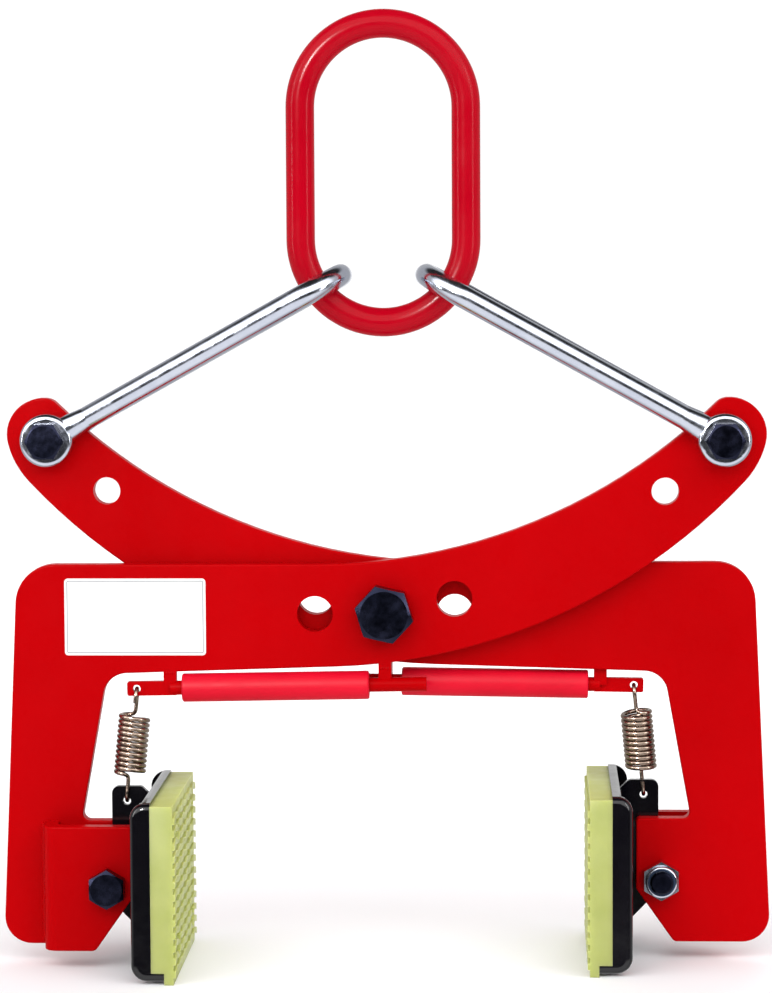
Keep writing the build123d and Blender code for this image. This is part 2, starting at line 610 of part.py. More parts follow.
    # Jaw spring: hook, coil and hook in one unbroken wire of quarter-turn biarcs
    top_at = bar_at + bar_way * BAR_HOLE
    low_at = spot(way, TAB_HOLE[0], TAB_HOLE[1], TAB_D)
    axis = (low_at - top_at).normalized()
    out = Vector(0, -way, 0)
    out = (out - axis * out.dot(axis)).normalized()
    third = axis.cross(out)
    length = (low_at - top_at).length
    coil_len = COIL_TURNS * COIL_PITCH
    coil_top = (length - coil_len) / 2
    coil_r = COIL_D / 2

    def place(a, b, c):
        """Point in the spring's own directions."""
        return top_at + axis * a + out * b + third * c

    def heading(a, b, c):
        """Direction in the spring's own directions."""
        return (axis * a + out * b + third * c).normalized()

    def coil(turns):
        """Point and heading on the coil."""
        turn = turns * 2 * pi + radians(TURN_IN_ANGLE)
        point = place(coil_top + turns * COIL_PITCH, -coil_r * cos(turn), coil_r * sin(turn))
        return point, heading(COIL_PITCH, 2 * pi * coil_r * sin(turn), 2 * pi * coil_r * cos(turn))

    knots = [
        (place(HOOK_R + HOOK_TAIL, HOOK_R, 0), heading(-1, 0, 0)),
        (place(HOOK_R, HOOK_R, 0), heading(-1, 0, 0)),
        (place(0, 0, 0), heading(0, -1, 0)),
        (place(HOOK_R, -HOOK_R, 0), heading(1, 0, 0)),
        (place(coil_top - TURN_IN, -HOOK_R, 0), heading(1, 0, 0)),
    ]
    for quarter in range(4 * COIL_TURNS + 1):
        knots.append(coil(quarter / 4))
    end_turn = radians(TURN_IN_ANGLE)
    # The lower hook is the upper one turned half a turn about the line square to the coil's middle
    mirror = []
    for point, course in knots[:5]:
        rel = point - place(length / 2, 0, 0)
        a = rel.dot(axis)
        b = rel.dot(out)
        c = rel.dot(third)
        ca = course.dot(axis)
        cb = course.dot(out)
        cc = course.dot(third)
        # Half turn about the direction in which the coil's middle point lies
        mid_turn = COIL_TURNS * pi + end_turn
        mb = -cos(mid_turn)
        mc = sin(mid_turn)
        along = b * mb + c * mc
        c_along = cb * mb + cc * mc
        new_point = place(length / 2 - a, 2 * along * mb - b, 2 * along * mc - c)
        new_course = heading(ca, -(2 * c_along * mb - cb), -(2 * c_along * mc - cc))
        mirror.append((new_point, new_course))
    knots.extend(reversed(mirror))

    with BuildPart() as spring:
        with BuildLine() as wire:
            for (p0, t0), (p1, t1) in zip(knots[:-1], knots[1:]):
                gap = p1 - p0
                bend = 1 - t0.dot(t1)
                if bend < 1e-9:
                    Line(p0, p1)
                    continue
                lean = gap.dot(t0 + t1)
                arm_len = (sqrt(lean**2 + 2 * bend * gap.dot(gap)) - lean) / (2 * bend)
                q0 = p0 + t0 * arm_len
                q1 = p1 - t1 * arm_len
                joint = (q0 + q1) * 0.5
                TangentArc(p0, joint, tangent=t0)
                TangentArc(joint, p1, tangent=q1 - q0)
        with BuildSketch(Plane(origin=knots[0][0], z_dir=knots[0][1])):
            Circle(WIRE / 2)
        sweep(path=wire.wires()[0])
    spring.part.label = f"{jaw}_spring"
    export_step(spring.part, f"parts/{jaw}_spring.step")

    # Least bend and least gap of the wire, on points along it
    beads = []
    run = 0.0
    tight = 1e9
    for edge in wire.edges():
        if edge.geom_type == GeomType.CIRCLE:
            tight = min(tight, edge.radius)
        steps = max(2, int(edge.length / 0.6))
        for step in range(steps):
            beads.append((run + edge.length * step / steps, edge @ (step / steps)))
        run += edge.length
    least = 1e9
    for i, (s0, a) in enumerate(beads):
        for s1, b in beads[i + 1 :]:
            if s1 - s0 > 4 * WIRE:
                least = min(least, (b - a).length)
    print(f"{jaw} spring: tightest bend {tight:.2f}, least gap {least - WIRE:.2f}, wire length {run:.0f}")

    # Shackle on the lever's end: bent rod with two forged eyes
    bow_way = Vector(-way * cos(BOW_ANGLE), 0, sin(BOW_ANGLE))
    bow_at = spot(way, LEVER_U, LEVER_W, ARM_MID)
    bow_up = Vector(way * sin(BOW_ANGLE), 0, cos(BOW_ANGLE))
    bow_plane = Plane(origin=bow_at, x_dir=bow_way, z_dir=bow_up)
    # On this plane y points outwards
    bend_c = (BOW_LENGTH - BOW_R, -ARM_MID)
    leg_out_0 = (EYE_D / 2 + ROD_START, EYE_MID)
    leg_in_0 = (EYE_D / 2 + ROD_START, -EYE_MID)
    leg_out = touch(leg_out_0, bend_c, BOW_R, -1)
    leg_in = touch(leg_in_0, bend_c, BOW_R, 1)
    with BuildPart() as bow:
        for inner_d in (ARM_MID + EYE_MID - EYE_T / 2, ARM_MID - EYE_MID - EYE_T / 2):
            with BuildSketch(side_plane(way, inner_d)):
                with Locations(LEVER):
                    Circle(EYE_D / 2)
            extrude(amount=EYE_T)
        fillet(bow.faces().filter_by(Axis.Y).edges(), radius=EYE_EDGE)
        for rod_from, rod_to in ((leg_out_0, leg_out), (leg_in_0, leg_in)):
            eye_at = bow_plane.from_local_coords((NECK_START, rod_from[1], 0))
            rod_at = bow_plane.from_local_coords((rod_from[0], rod_from[1], 0))
            rod_way = (bow_plane.from_local_coords((rod_to[0], rod_to[1], 0)) - rod_at).normalized()
            with BuildSketch(Plane(origin=eye_at, x_dir=bow_up, z_dir=bow_way)):
                Ellipse(NECK_W / 2, EYE_T / 2 - NECK_SINK)
            with BuildSketch(Plane(origin=rod_at + rod_way * NECK_LAP, x_dir=bow_up, z_dir=rod_way)):
                Circle(BOW_ROD / 2 - NECK_SINK)
            loft()
        with BuildLine(bow_plane) as bow_line:
            Line(leg_out_0, leg_out)
            ThreePointArc(leg_out, (BOW_LENGTH, -ARM_MID), leg_in)
            Line(leg_in, leg_in_0)
        with BuildSketch(Plane(origin=bow_line.line @ 0, z_dir=bow_line.line % 0)):
            Circle(BOW_ROD / 2)
        sweep(path=bow_line.wires()[0])
        with BuildSketch(side_plane(way, ARM_MID)):
            with Locations(LEVER):
                Circle(BOLT_D / 2 + BOLT_SNUG)
        extrude(amount=EYE_MID + EYE_T, both=True, mode=Mode.SUBTRACT)
    bow.part.label = f"{lever}_shackle"
    export_step(bow.part, f"parts/{lever}_shackle.step")

    # Shackle bolt: the head is at the front on both sides
    grip = EYE_MID + EYE_T / 2
    front_d = ARM_MID + grip if way == 1 else ARM_MID - grip
    back_d = ARM_MID - grip if way == 1 else ARM_MID + grip
    with BuildPart() as lever_bolt:
        with BuildSketch(side_plane(way, front_d)):
            with Locations(LEVER):
                RegularPolygon(BOLT_AF / 2, 6, major_radius=False)
        extrude(amount=way * BOLT_HEAD)
        for level, flare in ((0, BOLT_HEAD / tan(radians(HEX_SLOPE))), (way * BOLT_HEAD, 0)):
            with BuildSketch(side_plane(way, front_d + level)):
                with Locations(LEVER):
                    Circle(HEX_TOP * BOLT_AF / 2 + flare)
        loft(mode=Mode.INTERSECT)
        with BuildSketch(side_plane(way, front_d)):
            with Locations(LEVER):
                Circle(BOLT_D / 2)
        extrude(amount=-way * (2 * grip + WASHER_T + LOCK_NUT + BOLT_END))
        chamfer(lever_bolt.faces().sort_by(Axis.Y)[-1].edges(), length=1.2)
    lever_bolt.part.label = f"{lever}_shackle_bolt"
    export_step(lever_bolt.part, f"parts/{lever}_shackle_bolt.step")

    with BuildPart() as lever_washer:
        with BuildSketch(side_plane(way, back_d)):
            with Locations(LEVER):
                Circle(WASHER_D / 2)
                Circle(BOLT_D / 2 + BOLT_FIT, mode=Mode.SUBTRACT)
        extrude(amount=-way * WASHER_T)
    lever_washer.part.label = f"{lever}_shackle_washer"
    export_step(lever_washer.part, f"parts/{lever}_shackle_washer.step")

    with BuildPart() as lever_nut:
        with BuildSketch(side_plane(way, back_d - way * WASHER_T)):
            with Locations(LEVER):
                RegularPolygon(BOLT_AF / 2, 6, major_radius=False)
        extrude(amount=-way * LOCK_NUT * 0.72)
        with BuildSketch(side_plane(way, back_d - way * WASHER_T)):
            with Locations(LEVER):
                Circle(BOLT_AF / 2 - 0.8)
        extrude(amount=-way * LOCK_NUT)
        fillet(lever_nut.faces().sort_by(Axis.Y)[-1].edges(), radius=1.5)
        with BuildSketch(side_plane(way, back_d - way * WASHER_T)):
            with Locations(LEVER):
                Circle(BOLT_D / 2 + SCREW_FIT)
        extrude(amount=-way * LOCK_NUT, mode=Mode.SUBTRACT)
    lever_nut.part.label = f"{lever}_shackle_nut"
    export_step(lever_nut.part, f"parts/{lever}_shackle_nut.step")

# Main pivot bolt: head at the front, washer and lock nut at the rear
pivot_plane = Plane(origin=(0, -ARM_OUT - RUN, PIVOT_Z), x_dir=(1, 0, 0), z_dir=(0, -1, 0))
rear_face = 2 * (ARM_OUT + RUN)
with BuildPart() as pivot_bolt:
    with BuildSketch(pivot_plane):
        RegularPolygon(PIVOT_AF / 2, 6, major_radius=False, rotation=PIVOT_TURN)
    extrude(amount=PIVOT_HEAD)
    for level, flare in ((0, PIVOT_HEAD / tan(radians(HEX_SLOPE))), (PIVOT_HEAD, 0)):
        with BuildSketch(pivot_plane.offset(level)):
            Circle(HEX_TOP * PIVOT_AF / 2 + flare)
    loft(mode=Mode.INTERSECT)
    with BuildSketch(pivot_plane):
        Circle(PIVOT_D / 2)
    extrude(amount=-(rear_face + PIVOT_WASHER_T + PIVOT_NUT + PIVOT_END))
    chamfer(pivot_bolt.faces().sort_by(Axis.Y)[-1].edges(), length=1.6)
pivot_bolt.part.label = "pivot_bolt"
export_step(pivot_bolt.part, "parts/pivot_bolt.step")

with BuildPart() as pivot_washer:
    with BuildSketch(pivot_plane.offset(-rear_face)):
        Circle(PIVOT_WASHER_D / 2)
        Circle(PIVOT_D / 2 + PIVOT_FIT, mode=Mode.SUBTRACT)
    extrude(amount=-PIVOT_WASHER_T)
pivot_washer.part.label = "pivot_washer"
export_step(pivot_washer.part, "parts/pivot_washer.step")

with BuildPart() as pivot_nut:
    with BuildSketch(pivot_plane.offset(-rear_face - PIVOT_WASHER_T)):
        RegularPolygon(PIVOT_AF / 2, 6, major_radius=False)
    extrude(amount=-PIVOT_NUT * 0.75)
    with BuildSketch(pivot_plane.offset(-rear_face - PIVOT_WASHER_T)):
        Circle(PIVOT_AF / 2 - 1.2)
    extrude(amount=-PIVOT_NUT)
    fillet(pivot_nut.faces().sort_by(Axis.Y)[-1].edges(), radius=2)
    with BuildSketch(pivot_plane.offset(-rear_face - PIVOT_WASHER_T)):
        Circle(PIVOT_D / 2 + SCREW_FIT)
    extrude(amount=-PIVOT_NUT, mode=Mode.SUBTRACT)
pivot_nut.part.label = "pivot_nut"
export_step(pivot_nut.part, "parts/pivot_nut.step")

with BuildPart() as thrust_disc:
    with BuildSketch(Plane(origin=(0, -ARM_IN + RUN, PIVOT_Z), x_dir=(1, 0, 0), z_dir=(0, 1, 0))):
        Circle(DISC_D / 2)
        Circle(PIVOT_D / 2 + PIVOT_FIT, mode=Mode.SUBTRACT)
    extrude(amount=ARM_GAP - 2 * RUN)
thrust_disc.part.label = "pivot_thrust_disc"
export_step(thrust_disc.part, "parts/pivot_thrust_disc.step")

# Master ring
with BuildPart() as ring:
    with BuildLine(Plane.XZ) as ring_line:
        Line((RING_R, RING_LOW_Z), (RING_R, RING_HIGH_Z))
        ThreePointArc((RING_R, RING_HIGH_Z), (0, RING_HIGH_Z + RING_R), (-RING_R, RING_HIGH_Z))
        Line((-RING_R, RING_HIGH_Z), (-RING_R, RING_LOW_Z))
        ThreePointArc((-RING_R, RING_LOW_Z), (0, RING_LOW_Z - RING_R), (RING_R, RING_LOW_Z))
    with BuildSketch(Plane(origin=(RING_R, 0, RING_LOW_Z), z_dir=(0, 0, 1))):
        Circle(RING_BAR / 2)
    sweep(path=ring_line.wires()[0])
ring.part.label = "master_ring"
export_step(ring.part, "parts/master_ring.step")

print(f"pivot at z {PIVOT_Z:.1f}, hinge u {HINGE_U:.1f}, bow angle {degrees(BOW_ANGLE):.2f}")
print(f"bow tip x {BOW_TIP_X:.1f} z {TIP_Z:.2f}, ring arcs at z {RING_LOW_Z:.2f} and {RING_HIGH_Z:.2f}")
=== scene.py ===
import json
from math import cos, pi, radians, sin

import bpy
from mathutils import Matrix, Vector


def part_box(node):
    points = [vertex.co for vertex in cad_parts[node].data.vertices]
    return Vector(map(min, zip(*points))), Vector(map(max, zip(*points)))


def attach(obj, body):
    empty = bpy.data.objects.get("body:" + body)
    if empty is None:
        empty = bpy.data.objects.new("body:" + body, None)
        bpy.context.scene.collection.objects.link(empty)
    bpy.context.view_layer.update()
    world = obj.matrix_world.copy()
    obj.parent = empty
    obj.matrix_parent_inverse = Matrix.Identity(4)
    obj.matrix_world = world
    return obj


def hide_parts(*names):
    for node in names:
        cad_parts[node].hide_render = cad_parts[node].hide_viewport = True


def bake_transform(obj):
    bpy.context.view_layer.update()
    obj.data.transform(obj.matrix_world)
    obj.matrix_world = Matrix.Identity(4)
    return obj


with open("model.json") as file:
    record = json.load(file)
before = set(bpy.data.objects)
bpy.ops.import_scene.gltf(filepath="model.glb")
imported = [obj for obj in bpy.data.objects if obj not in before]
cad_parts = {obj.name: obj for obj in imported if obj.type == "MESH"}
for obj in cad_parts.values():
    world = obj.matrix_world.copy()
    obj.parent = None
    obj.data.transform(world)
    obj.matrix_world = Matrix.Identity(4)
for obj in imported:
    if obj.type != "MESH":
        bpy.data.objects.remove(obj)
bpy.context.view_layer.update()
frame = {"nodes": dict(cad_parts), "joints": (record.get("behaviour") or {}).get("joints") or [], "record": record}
nodes = frame["nodes"]

# Slab lifting clamp, in metres. Places on the clamp are given from the front side's own view:
# u runs from the pivot towards the jaw, w is height above the pivot, d is distance in front of
# the gap between the arms. The rear side is the front side turned half a turn about Z.
PIVOT_Z = next(joint["pos_m"][2] for joint in frame["joints"] if joint["name"] == "front_arm_pivot")
PLATE_FRONT = -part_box("front_arm")[0].y     # d of an arm plate's front face
HALF_TURN = Matrix.Rotation(pi, 4, "Z")
SIDES = ((1, "front", "left"), (-1, "rear", "right"))   # way, arm and jaw of each side

# Camera at the photograph's view
PHOTO_H = 993
VIEW_AZ, VIEW_EL, VIEW_ROLL = radians(2.3894), radians(4.6441), radians(-0.2942)
VIEW_DISTANCE = 2.416
VIEW_TARGET = Vector((0.0009, 0.0, 0.3271))
FOCAL_PX = 3458.97
SENSOR = 24.0


def spot(way, u, w, d):
    """A place on the front side (way 1) or the rear side (way -1)."""
    return Vector((-way * u, -way * d, PIVOT_Z + w))


def fresh_start():
    """Nothing selected, in object mode."""
    if bpy.context.object and bpy.context.object.mode != "OBJECT":
        bpy.ops.object.mode_set(mode="OBJECT")
    bpy.ops.object.select_all(action="DESELECT")


def take(piece):
    """Makes one piece the only selected one."""
    fresh_start()
    piece.select_set(True)
    bpy.context.view_layer.objects.active = piece


def named(name):
    """Names the piece in hand and puts its place into its mesh."""
    piece = bpy.context.object
    piece.name = name
    piece.data.name = name
    bpy.ops.object.transform_apply(location=True, rotation=True, scale=True)
    return piece


def twin(piece, name, turn):
    """A copy with its own mesh, turned to its place."""
    other = piece.copy()
    other.data = piece.data.copy()
    other.name = name
    other.data.name = name
    bpy.context.scene.collection.objects.link(other)
    other.data.transform(turn)
    return other


def applied(piece, kind, **settings):
    """Adds a modifier, sets it and applies it."""
    take(piece)
    step = piece.modifiers.new(kind.title(), kind)
    for key, value in settings.items():
        setattr(step, key, value)
    bpy.ops.object.modifier_apply(modifier=step.name)


def dressed(piece, *finishes):
    """Puts the finishes into the piece's material slots."""
    piece.data.materials.clear()
    for finish in finishes:
        piece.data.materials.append(finish)


# Finishes


class Finish:
    """A material with one principled shader, and short ways to lay its nodes."""

    def __init__(self, name):
        self.material = bpy.data.materials.new(name)
        self.material.use_nodes = True
        self.nodes = self.material.node_tree.nodes
        self.links = self.material.node_tree.links
        self.shader = self.nodes["Principled BSDF"]
        self.place = self.nodes.new("ShaderNodeTexCoord").outputs["Object"]
        self.last_normal = None

    def set(self, **values):
        """Sets the shader's own sockets."""
        for key, value in values.items():
            self.shader.inputs[key.replace("_", " ")].default_value = value
        return self

    def noise(self, scale, detail, rough=0.5):
        """Soft random pattern."""
        node = self.nodes.new("ShaderNodeTexNoise")
        node.inputs["Scale"].default_value = scale
        node.inputs["Detail"].default_value = detail
        node.inputs["Roughness"].default_value = rough
        self.links.new(self.place, node.inputs["Vector"])
        return node.outputs["Fac"]

    def colours(self, pattern, *stops):
        """Colour over a pattern, from stops of place and colour."""
        node = self.nodes.new("ShaderNodeValToRGB")
        ramp = node.color_ramp
        while len(ramp.elements) < len(stops):
            ramp.elements.new(0.5)
        for element, (at, colour) in zip(ramp.elements, stops):
            element.position = at
            element.color = (*colour, 1.0)
        self.links.new(pattern, node.inputs["Fac"])
        self.links.new(node.outputs["Color"], self.shader.inputs["Base Color"])
        return self

    def shine(self, pattern, span, rough):
        """Roughness over a pattern: the pattern's span of values becomes this span of roughness."""
        node = self.nodes.new("ShaderNodeMapRange")
        node.inputs["From Min"].default_value, node.inputs["From Max"].default_value = span
        node.inputs["To Min"].default_value, node.inputs["To Max"].default_value = rough
        self.links.new(pattern, node.inputs["Value"])
        self.links.new(node.outputs["Result"], self.shader.inputs["Roughness"])
        return self

    def relief(self, pattern, strength, depth):
        """Raised pattern; a second one lies over the first."""
        node = self.nodes.new("ShaderNodeBump")
        node.inputs["Strength"].default_value = strength
        node.inputs["Distance"].default_value = depth
        self.links.new(pattern, node.inputs["Height"])
        if self.last_normal:
            self.links.new(self.last_normal, node.inputs["Normal"])
        self.last_normal = node.outputs["Normal"]
        self.links.new(self.last_normal, self.shader.inputs["Normal"])
        return self


def gloss_paint(name, colour, deep, gloss, specular):
    """Sprayed paint: cloudy depth of colour, fine peel and a little dust in the gloss."""
    f = Finish(name).set(Specular_IOR_Level=specular)
    f.colours(f.noise(scale=7.0, detail=4.0), (0.30, deep), (0.62, colour))
    f.shine(f.noise(scale=38.0, detail=5.0, rough=0.6), (0.3, 0.75), (gloss - 0.05, gloss + 0.10))
    f.relief(f.noise(scale=420.0, detail=2.0), strength=0.10, depth=0.0004)
    f.relief(f.noise(scale=60.0, detail=2.0), strength=0.06, depth=0.0010)
    return f.material


def plated_steel(name, light, dark, gloss):
    """Plated or blued steel: cloudy tint, rubbed shine and fine grain."""
    f = Finish(name).set(Metallic=1.0)
    f.colours(f.noise(scale=46.0, detail=5.0, rough=0.6), (0.28, dark), (0.70, light))
    f.shine(f.noise(scale=130.0, detail=4.0, rough=0.6), (0.3, 0.72), (gloss - 0.05, gloss + 0.12))
    f.relief(f.noise(scale=900.0, detail=3.0, rough=0.6), strength=0.12, depth=0.0002)
    return f.material


def soft_plastic(name, light, dark, gloss, skin):
    """Drawn or moulded plastic: slight clouding, satin shine and a fine skin."""
    f = Finish(name).set(Specular_IOR_Level=0.12)
    f.colours(f.noise(scale=30.0, detail=4.0), (0.30, dark), (0.68, light))
    f.shine(f.noise(scale=90.0, detail=4.0), (0.3, 0.7), (gloss - 0.06, gloss + 0.10))
    f.relief(f.noise(scale=skin, detail=3.0), strength=0.14, depth=0.0003)
    return f.material


def cast_polyurethane(name, light, dark):
    """Cast pad: pale yellow-green, clouded, a little light comes through."""
    f = Finish(name).set(
        Subsurface_Weight=0.6,
        Subsurface_Scale=0.012,
        Subsurface_Radius=(1.0, 1.0, 0.5),
        Specular_IOR_Level=0.35,
    )
    f.colours(f.noise(scale=24.0, detail=5.0, rough=0.6), (0.30, dark), (0.70, light))
    f.shine(f.noise(scale=70.0, detail=4.0), (0.3, 0.7), (0.36, 0.52))
    f.relief(f.noise(scale=600.0, detail=3.0), strength=0.16, depth=0.0003)
    f.relief(f.noise(scale=85.0, detail=2.0), strength=0.12, depth=0.0008)
    return f.material


red_gloss_paint = gloss_paint(
    "red_gloss_paint", (0.455, 0.0001, 0.0016), (0.400, 0.0001, 0.0012), gloss=0.28, specular=0.02
)
ring_gloss_paint = gloss_paint(
    "ring_gloss_paint", (0.45, 0.0004, 0.0100), (0.39, 0.0003, 0.0080), gloss=0.17, specular=0.10
)
black_gloss_paint = gloss_paint(
    "black_gloss_paint", (0.0030, 0.0024, 0.0046), (0.0018, 0.0015, 0.0028), gloss=0.10, specular=0.50
)
bright_zinc = plated_steel("bright_zinc", (0.62, 0.65, 0.74), (0.52, 0.55, 0.65), gloss=0.14)
blued_bolt_steel = plated_steel(
    "blued_bolt_steel", (0.026, 0.028, 0.052), (0.013, 0.015, 0.030), gloss=0.22
)
nickel_wire = plated_steel("nickel_wire", (0.46, 0.36, 0.29), (0.20, 0.14, 0.11), gloss=0.20)
sleeve_plastic = soft_plastic(
    "sleeve_plastic", (0.68, 0.0030, 0.022), (0.60, 0.0025, 0.018), gloss=0.42, skin=500.0
)
thrust_plastic = soft_plastic(
    "thrust_plastic", (0.10, 0.10, 0.105), (0.06, 0.06, 0.064), gloss=0.45, skin=700.0
)
nylon_insert = soft_plastic(
    "nylon_insert", (0.030, 0.050, 0.095), (0.018, 0.030, 0.060), gloss=0.40, skin=900.0
)
sticker_vinyl = soft_plastic(
    "sticker_vinyl", (0.86, 0.86, 0.87), (0.80, 0.80, 0.81), gloss=0.32, skin=1200.0
)
sticker_line = soft_plastic(
    "sticker_line", (0.34, 0.34, 0.36), (0.28, 0.28, 0.30), gloss=0.34, skin=1200.0
)
pad_polyurethane = cast_polyurethane("pad_polyurethane", (0.45, 0.485, 0.16), (0.37, 0.41, 0.112))

FINISH_OF = {
    "red_paint": red_gloss_paint,
    "sleeve": sleeve_plastic,
    "zinc": bright_zinc,
    "black_oxide": blued_bolt_steel,
    "black_paint": black_gloss_paint,
    "pad": pad_polyurethane,
    "spring": nickel_wire,
    "disc": thrust_plastic,
}
for subpart in frame["record"]["subparts"]:
    dressed(nodes[subpart["node"]], FINISH_OF[subpart["material_slot"]])
dressed(nodes["master_ring"], ring_gloss_paint)

# Springs: one wire each, from hook to coil to hook
SPRING_TOP = (0.17398, -0.05323, 0.0100)    # u, w, d of the hole in the stop bar
SPRING_LOW = (0.1810, -0.1316, 0.01575)     # and of the hole in the spring tab
WIRE_R = 0.00168
HOOK_SHARE = 0.84           # the hooks' wire is drawn to this share of the coil's
COIL_R = 0.00965
COIL_PITCH = 0.00355
COIL_TURNS = 11.5
TURN_POINTS = 12            # control points in each turn of the coil
HOOK_R = 0.005
HOOK_POINTS = 8             # control points in a full turn of a hook
# The hook's free end: distance past the bend's middle, and distance out in hook radii
HOOK_TAIL = ((0.005, 1.0), (0.002, 1.04))
HOOK_LEG = 0.003            # the leg is straight from this far past the bend's middle
# The leg's way into the coil: distance before it, distance out in hook radii, distance sideways
LEG_END = ((0.008, 1.0, 0.0), (0.004, 1.0, 0.0), (0.0017, 1.04, 0.0004), (0.0004, 1.45, 0.0020))


def drawn_in(points):
    """A smooth spline runs inside its control points by this share."""
    return (2 + cos(2 * pi / points)) / 3


def spring_wire(name):
    """The front spring as a bent wire."""
    top = spot(1, *SPRING_TOP)
    low = spot(1, *SPRING_LOW)
    length = (low - top).length
    along = (low - top).normalized()
    out = Vector((0, -1, 0))
    out = (out - along * out.dot(along)).normalized()
    across = along.cross(out)

    coil_start = (length - COIL_TURNS * COIL_PITCH) / 2
    hook_r = HOOK_R / drawn_in(HOOK_POINTS)
    hook = [(HOOK_R + back, HOOK_R * share, 0) for back, share in HOOK_TAIL]
    for step in range(HOOK_POINTS // 2 + 1):
        turn = step * 2 * pi / HOOK_POINTS
        hook.append((HOOK_R - hook_r * sin(turn), hook_r * cos(turn), 0))
    hook.append((HOOK_R + HOOK_LEG, -HOOK_R, 0))
    hook += [(coil_start - before, -HOOK_R * share, aside) for before, share, aside in LEG_END]
    coil_r = COIL_R / drawn_in(TURN_POINTS)
    coil = []
    for step in range(1, int(COIL_TURNS * TURN_POINTS)):
        turns = step / TURN_POINTS
        turn = turns * 2 * pi
        coil.append((coil_start + turns * COIL_PITCH, -coil_r * cos(turn), coil_r * sin(turn)))
    route = hook + coil + [(length - a, -b, c) for a, b, c in reversed(hook)]
    shares = [HOOK_SHARE] * len(hook) + [1.0] * len(coil) + [HOOK_SHARE] * len(hook)

    fresh_start()
    bpy.ops.curve.primitive_nurbs_path_add(location=(0, 0, 0))
    wire = bpy.context.object
    spline = wire.data.splines[0]
    spline.points.add(len(route) - len(spline.points))
    for point, (a, b, c), share in zip(spline.points, route, shares):
        point.co = (*(top + along * a + out * b + across * c), 1.0)
        point.radius = share
    spline.order_u = 4
    spline.use_endpoint_u = True
    spline.resolution_u = 3
    wire.data.bevel_depth = WIRE_R
    wire.data.bevel_resolution = 3
    wire.data.use_fill_caps = True
    take(wire)
    bpy.ops.object.convert(target="MESH")
    piece = named(name)
    bpy.ops.object.shade_smooth()
    return piece


left_spring = spring_wire("left_pull_spring")
right_spring = twin(left_spring, "right_pull_spring", HALF_TURN)
for (way, side, jaw), spring in zip(SIDES, (left_spring, right_spring)):
    dressed(spring, nickel_wire)
    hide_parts(f"{jaw}_spring")
    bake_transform(spring)

# Grip pads: the cast shape with its moulded edges rounded
SAME_POINT = 0.00001        # points nearer than this are one
FLAT_ANGLE = radians(1.0)   # faces within this angle are one flat face
PAD_ROUNDING = 0.0007


def cast_pad(node):
    """A grip pad with softened edges, on a merged copy of the solid."""
    piece = twin(nodes[node], node.replace("pad", "grip_pad"), Matrix.Identity(4))
    piece.parent = None
    for key in list(piece.keys()):
        del piece[key]
    take(piece)
    bpy.ops.object.mode_set(mode="EDIT")
    bpy.ops.mesh.select_mode(type="VERT")
    bpy.ops.mesh.select_all(action="SELECT")
    bpy.ops.mesh.remove_doubles(threshold=SAME_POINT)
    bpy.ops.mesh.dissolve_limited(angle_limit=FLAT_ANGLE)
    bpy.ops.object.mode_set(mode="OBJECT")
    applied(piece, "BEVEL", width=PAD_ROUNDING, segments=2, limit_method="ANGLE", angle_limit=radians(35))
    take(piece)
    bpy.ops.object.shade_smooth_by_angle(angle=radians(40))
    dressed(piece, pad_polyurethane)
    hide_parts(node)
    return piece


for way, side, jaw in SIDES:
    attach(cast_pad(f"{jaw}_pad"), f"{jaw}_jaw")

# Blank sticker on the front arm
STICKER_U = (0.125, 0.224)
STICKER_W = (-0.0296, 0.0244)
STICKER_T = 0.00022
STICKER_LIFT = 0.00004      # room for the glue under the sticker
STICKER_CORNER = 0.0025
STICKER_MARGIN = 0.0016     # white edge outside the thin line
STICKER_LINE_W = 0.0006


def blank_sticker():
    """A white sticker with rounded corners and one thin line round its field."""
    wide = STICKER_U[1] - STICKER_U[0]
    high = STICKER_W[1] - STICKER_W[0]
    middle = spot(1, sum(STICKER_U) / 2, sum(STICKER_W) / 2, PLATE_FRONT + STICKER_LIFT)
    fresh_start()
    bpy.ops.mesh.primitive_plane_add(size=1, location=middle, rotation=(pi / 2, 0, 0))
    bpy.ops.transform.resize(value=(wide, 1, high))
    piece = named("blank_sticker")
    dressed(piece, sticker_vinyl, sticker_line)
    bpy.ops.object.mode_set(mode="EDIT")
    bpy.ops.mesh.select_mode(type="VERT")
    bpy.ops.mesh.select_all(action="SELECT")
    bpy.ops.mesh.bevel(offset=STICKER_CORNER, segments=5, affect="VERTICES")
    bpy.ops.mesh.select_mode(type="FACE")
    bpy.ops.mesh.select_all(action="SELECT")
    bpy.ops.mesh.inset(thickness=STICKER_MARGIN)
    piece.active_material_index = 1
    bpy.ops.object.material_slot_assign()
    bpy.ops.mesh.inset(thickness=STICKER_LINE_W)
    piece.active_material_index = 0
    bpy.ops.object.material_slot_assign()
    bpy.ops.object.mode_set(mode="OBJECT")
    applied(piece, "SOLIDIFY", thickness=STICKER_T, offset=1.0)
    return piece


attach(blank_sticker(), "front_arm")

# Weld beads, painted over
RIPPLE_STEP = 0.62          # from ripple to ripple, as a share of the bead's size
RIPPLE_SQUEEZE = 0.30       # a ripple is shorter along the weld by this share
CHEEK_WELD_U = 0.2405       # along the cheek's outer edge, on the foot
CHEEK_WELD_W = (-0.1491, -0.2315)
CHEEK_WELD_D = 0.0128
HOLDER_BACK_U = 0.1638      # on the pad holder's back, where its lug and spring tab stand
LUG_WELD_W = (-0.1840, -0.2280)
LUG_SIDES = (0.01325, 0.02825)      # the lug's inner and outer face
TAB_WELD_W = (-0.1290, -0.1510)
TAB_SIDES = (0.01325, 0.01825)      # the spring tab's inner and outer face
POST_PLACES = (0.0, 0.1505)         # the stop bar's two posts
POST_WELD_HALF = 0.0024
POST_WELD_D = 0.0112
BEAM_UNDER_W = -0.0388      # underside of the beam by the pivot
BEAM_BEND_U = 0.0465        # from here on it falls towards the jaw
